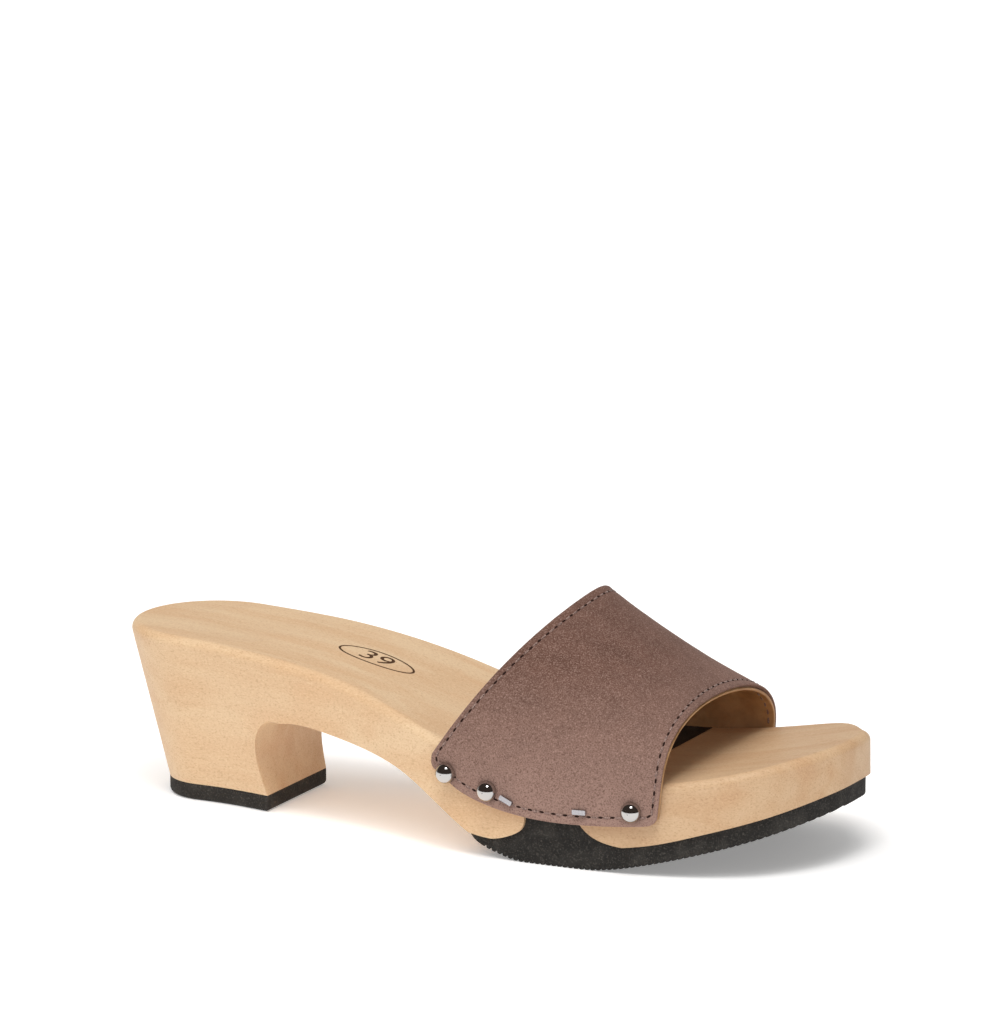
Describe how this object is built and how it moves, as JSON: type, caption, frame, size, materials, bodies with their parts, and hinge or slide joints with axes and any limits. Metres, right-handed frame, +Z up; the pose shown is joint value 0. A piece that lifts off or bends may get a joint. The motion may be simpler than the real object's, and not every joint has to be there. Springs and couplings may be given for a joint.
{
  "type": "wooden clog",
  "caption": "Open-toe, open-back wooden clog with a block heel, a flexible rubber neck in the sole and a nailed suede strap.",
  "frame": {"origin": "on the floor, under the middle of the clog's bounding box", "axes": "+X points to the toe, -Y to the outer (lateral) side of a right foot, +Z up from the floor"},
  "size_m": [0.2442, 0.0984, 0.0763],
  "materials": {
    "wood": "sanded, clear satin lacquer",
    "sole_rubber": "microcellular, matte",
    "heel_rubber": "smooth, matte",
    "suede": "brushed nap",
    "lining_leather": "smooth natural",
    "nail_chrome": "polished",
    "staple_steel": "bright zinc"
  },
  "bodies": {
    "rear": {"rear_sole": "wood", "flex_neck": "sole_rubber", "outsole_rear": "sole_rubber", "heel_tip": "heel_rubber", "upper_suede": "suede", "upper_lining": "lining_leather", "rear_nail_lateral": "nail_chrome", "rear_nail_medial": "nail_chrome", "rear_staple_lateral": "staple_steel", "rear_staple_medial": "staple_steel"},
    "toe": {"toe_sole": "wood", "outsole_toe": "sole_rubber", "toe_nail_lateral": "nail_chrome", "toe_nail_medial": "nail_chrome", "toe_staple_lateral": "staple_steel", "toe_staple_medial": "staple_steel"}
  },
  "joints": [
    {"name": "toe_flex", "type": "hinge", "parent": "rear", "child": "toe", "pos_m": [0.04164, -0.00115, 0.0068], "axis": [0, -1, 0], "range_deg": [0, 20], "stiffness_Nm_per_rad": 3, "deforming": ["flex_neck", "upper_suede", "upper_lining"]}
  ]
}
